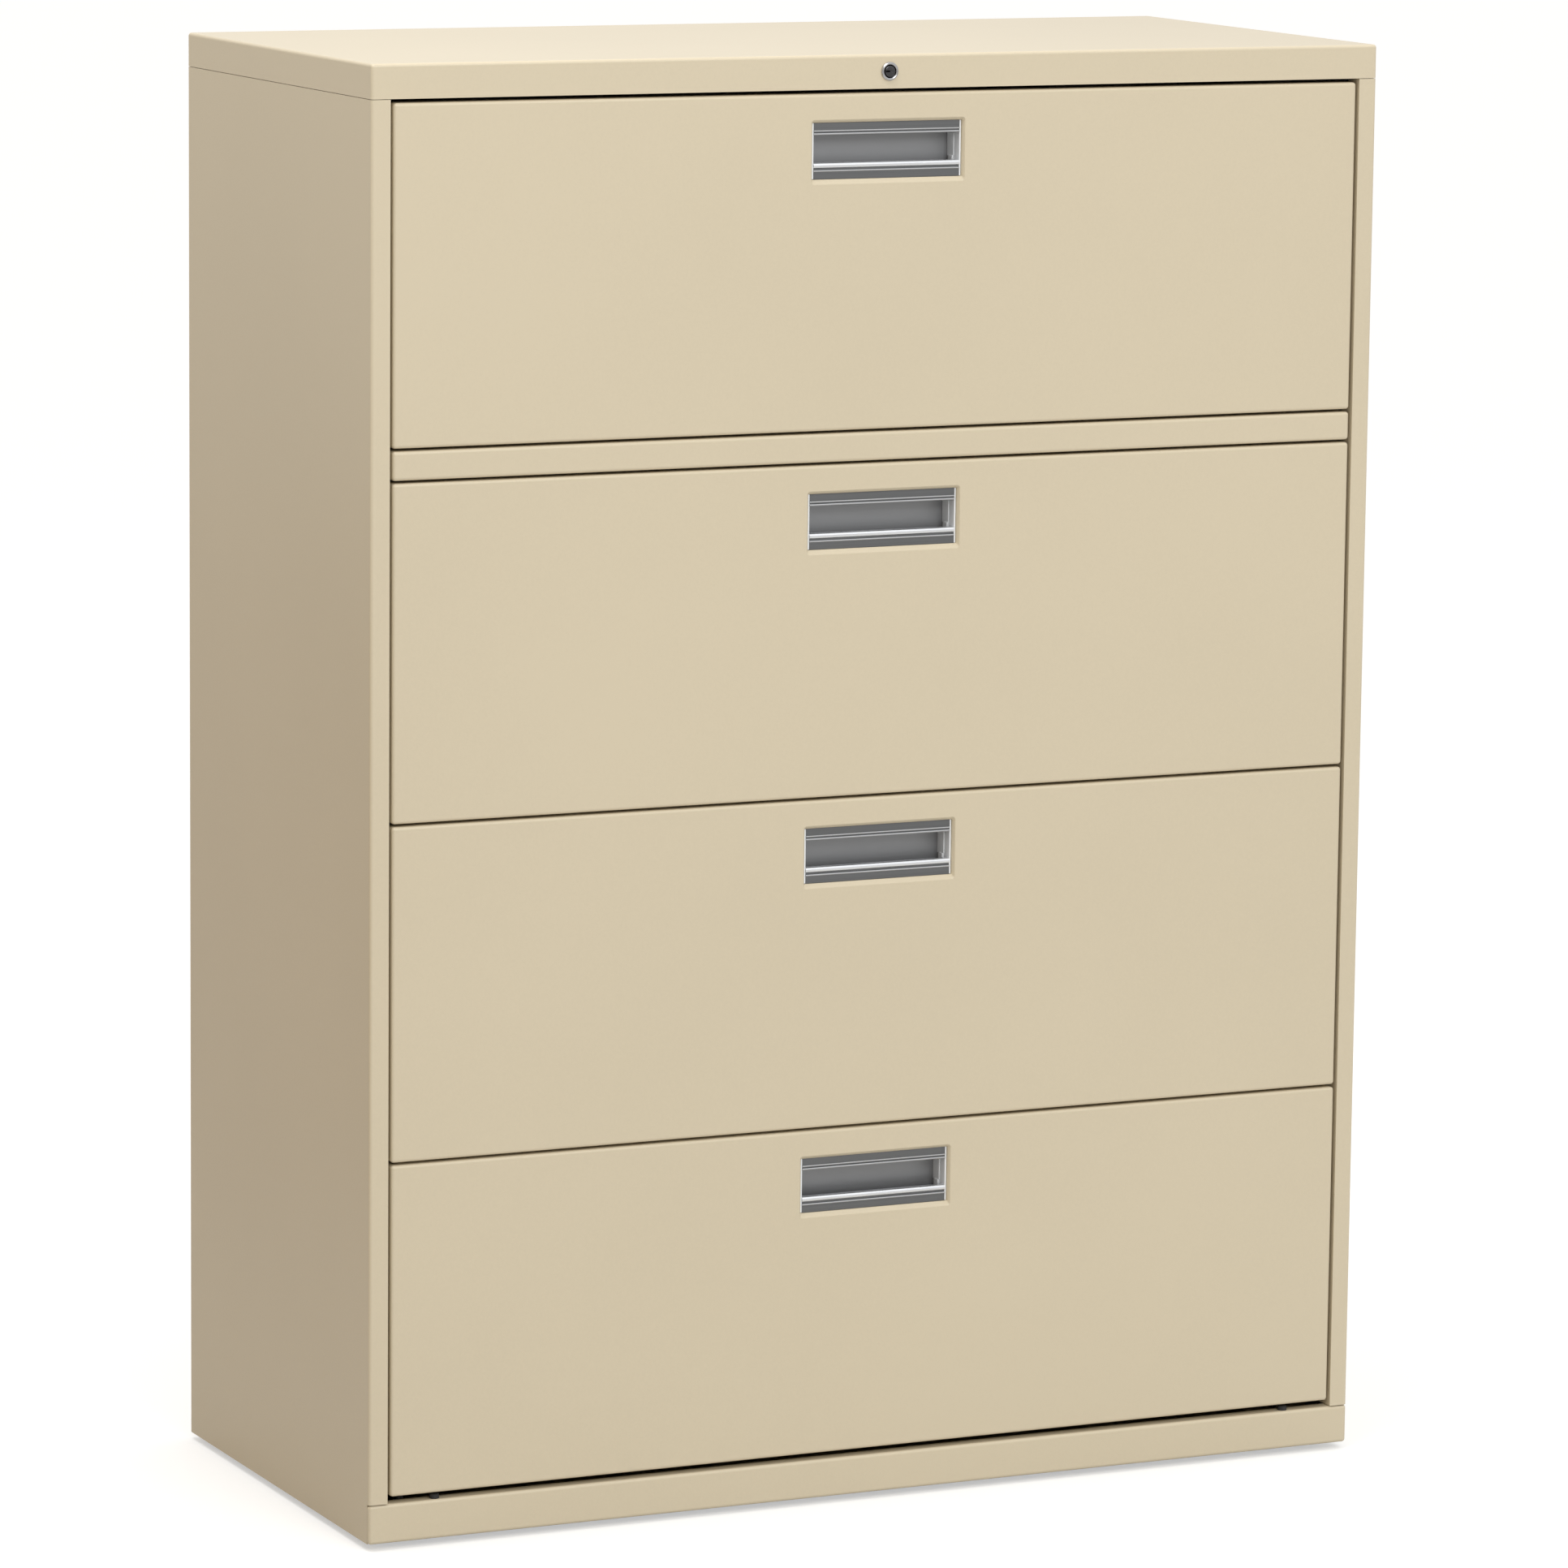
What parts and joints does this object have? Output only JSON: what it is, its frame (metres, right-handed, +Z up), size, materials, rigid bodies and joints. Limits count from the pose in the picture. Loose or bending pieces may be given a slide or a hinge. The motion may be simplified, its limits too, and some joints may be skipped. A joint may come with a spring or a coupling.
{
  "type": "metal filing cabinet",
  "caption": "Wide steel lateral filing cabinet: stacked full-width drawers on ball-bearing slides, recessed centre pulls, a turn lock in the flat top's front edge and levelling feet.",
  "frame": {"origin": "on the floor, under the centre of the bounding box", "axes": "+Z up, -Y out of the drawer fronts, +X to the right seen from the front"},
  "size_m": [1, 0.4592, 1.3335],
  "materials": {
    "putty_paint": "satin putty enamel with a very fine texture",
    "tray_paint": "satin putty enamel, inside surfaces",
    "slide_zinc": "bright zinc plate",
    "ball_steel": "polished",
    "bare_steel": "zinc plate, dull",
    "bolt_zinc": "zinc plate",
    "weight_paint": "black primer",
    "pull_aluminium": "satin anodised",
    "pull_plastic": "pale grey moulding",
    "lock_chrome": "polished",
    "guide_nylon": "natural nylon",
    "black_rubber": "matt"
  },
  "bodies": {
    "cabinet": {"right_side_panel": "putty_paint", "left_side_panel": "putty_paint", "back_panel": "putty_paint", "top_cap": "putty_paint", "base_front_rail": "putty_paint", "base_pan": "tray_paint", "base_bumpers": "black_rubber", "filler_rail": "putty_paint", "filler_brackets": "bare_steel", "counterweight": "weight_paint", "counterweight_bolts": "bolt_zinc", "glide_brackets": "bare_steel", "uprights": "tray_paint", "lock_housing": "lock_chrome", "link_guides": "bare_steel", "bar_guides": "guide_nylon", "slide_outer_1": "slide_zinc", "slide_outer_2": "slide_zinc", "slide_outer_3": "slide_zinc", "slide_outer_4": "slide_zinc"},
    "drawer_1": {"drawer_front_1": "putty_paint", "drawer_tray_1": "tray_paint", "hang_rails_1": "bare_steel", "pull_1": "pull_aluminium", "pull_end_caps_1": "pull_plastic", "slide_inner_1": "slide_zinc"},
    "slide_stage_1": {"slide_middle_1": "slide_zinc", "ball_cages_1": "ball_steel"},
    "drawer_2": {"drawer_front_2": "putty_paint", "drawer_tray_2": "tray_paint", "hang_rails_2": "bare_steel", "pull_2": "pull_aluminium", "pull_end_caps_2": "pull_plastic", "slide_inner_2": "slide_zinc"},
    "slide_stage_2": {"slide_middle_2": "slide_zinc", "ball_cages_2": "ball_steel"},
    "drawer_3": {"drawer_front_3": "putty_paint", "drawer_tray_3": "tray_paint", "hang_rails_3": "bare_steel", "pull_3": "pull_aluminium", "pull_end_caps_3": "pull_plastic", "slide_inner_3": "slide_zinc"},
    "slide_stage_3": {"slide_middle_3": "slide_zinc", "ball_cages_3": "ball_steel"},
    "drawer_4": {"drawer_front_4": "putty_paint", "drawer_tray_4": "tray_paint", "hang_rails_4": "bare_steel", "pull_4": "pull_aluminium", "pull_end_caps_4": "pull_plastic", "slide_inner_4": "slide_zinc"},
    "slide_stage_4": {"slide_middle_4": "slide_zinc", "ball_cages_4": "ball_steel"},
    "lock_plug": {"lock_plug": "lock_chrome"},
    "lock_link": {"lock_link": "bare_steel"},
    "lock_bar": {"lock_bar": "bare_steel", "lock_bar_fittings": "bare_steel"},
    "glide_front_left": {"glide_front_left": "bolt_zinc"},
    "glide_front_right": {"glide_front_right": "bolt_zinc"},
    "glide_rear_left": {"glide_rear_left": "bolt_zinc"},
    "glide_rear_right": {"glide_rear_right": "bolt_zinc"}
  },
  "joints": [
    {"name": "drawer_1_slide", "type": "slide", "parent": "cabinet", "child": "drawer_1", "axis": [0, -1, 0], "range_m": [0, 0.4]},
    {"name": "slide_stage_1_slide", "type": "slide", "parent": "cabinet", "child": "slide_stage_1", "axis": [0, -1, 0], "range_m": [0, 0.2]},
    {"name": "drawer_2_slide", "type": "slide", "parent": "cabinet", "child": "drawer_2", "axis": [0, -1, 0], "range_m": [0, 0.4]},
    {"name": "slide_stage_2_slide", "type": "slide", "parent": "cabinet", "child": "slide_stage_2", "axis": [0, -1, 0], "range_m": [0, 0.2]},
    {"name": "drawer_3_slide", "type": "slide", "parent": "cabinet", "child": "drawer_3", "axis": [0, -1, 0], "range_m": [0, 0.4]},
    {"name": "slide_stage_3_slide", "type": "slide", "parent": "cabinet", "child": "slide_stage_3", "axis": [0, -1, 0], "range_m": [0, 0.2]},
    {"name": "drawer_4_slide", "type": "slide", "parent": "cabinet", "child": "drawer_4", "axis": [0, -1, 0], "range_m": [0, 0.4]},
    {"name": "slide_stage_4_slide", "type": "slide", "parent": "cabinet", "child": "slide_stage_4", "axis": [0, -1, 0], "range_m": [0, 0.2]},
    {"name": "lock_turn", "type": "hinge", "parent": "cabinet", "child": "lock_plug", "pos_m": [0, -0.2276, 1.318], "axis": [0, -1, 0], "range_deg": [0, 90]},
    {"name": "lock_link_slide", "type": "slide", "parent": "cabinet", "child": "lock_link", "axis": [1, 0, 0], "range_m": [0, 0.01131]},
    {"name": "lock_bar_slide", "type": "slide", "parent": "cabinet", "child": "lock_bar", "axis": [0, 0, -1], "range_m": [0, 0.01131]},
    {"name": "glide_front_left_height", "type": "slide", "parent": "cabinet", "child": "glide_front_left", "axis": [0, 0, -1], "range_m": [0, 0.019]},
    {"name": "glide_front_right_height", "type": "slide", "parent": "cabinet", "child": "glide_front_right", "axis": [0, 0, -1], "range_m": [0, 0.019]},
    {"name": "glide_rear_left_height", "type": "slide", "parent": "cabinet", "child": "glide_rear_left", "axis": [0, 0, -1], "range_m": [0, 0.019]},
    {"name": "glide_rear_right_height", "type": "slide", "parent": "cabinet", "child": "glide_rear_right", "axis": [0, 0, -1], "range_m": [0, 0.019]}
  ],
  "couplings": [
    {"joint": "slide_stage_1_slide", "follows": "drawer_1_slide", "ratio": 0.5},
    {"joint": "slide_stage_2_slide", "follows": "drawer_2_slide", "ratio": 0.5},
    {"joint": "slide_stage_3_slide", "follows": "drawer_3_slide", "ratio": 0.5},
    {"joint": "slide_stage_4_slide", "follows": "drawer_4_slide", "ratio": 0.5},
    {"joint": "lock_turn", "follows": "lock_bar_slide", "rad_per_m": 138.8},
    {"joint": "lock_link_slide", "follows": "lock_bar_slide", "ratio": 1}
  ]
}
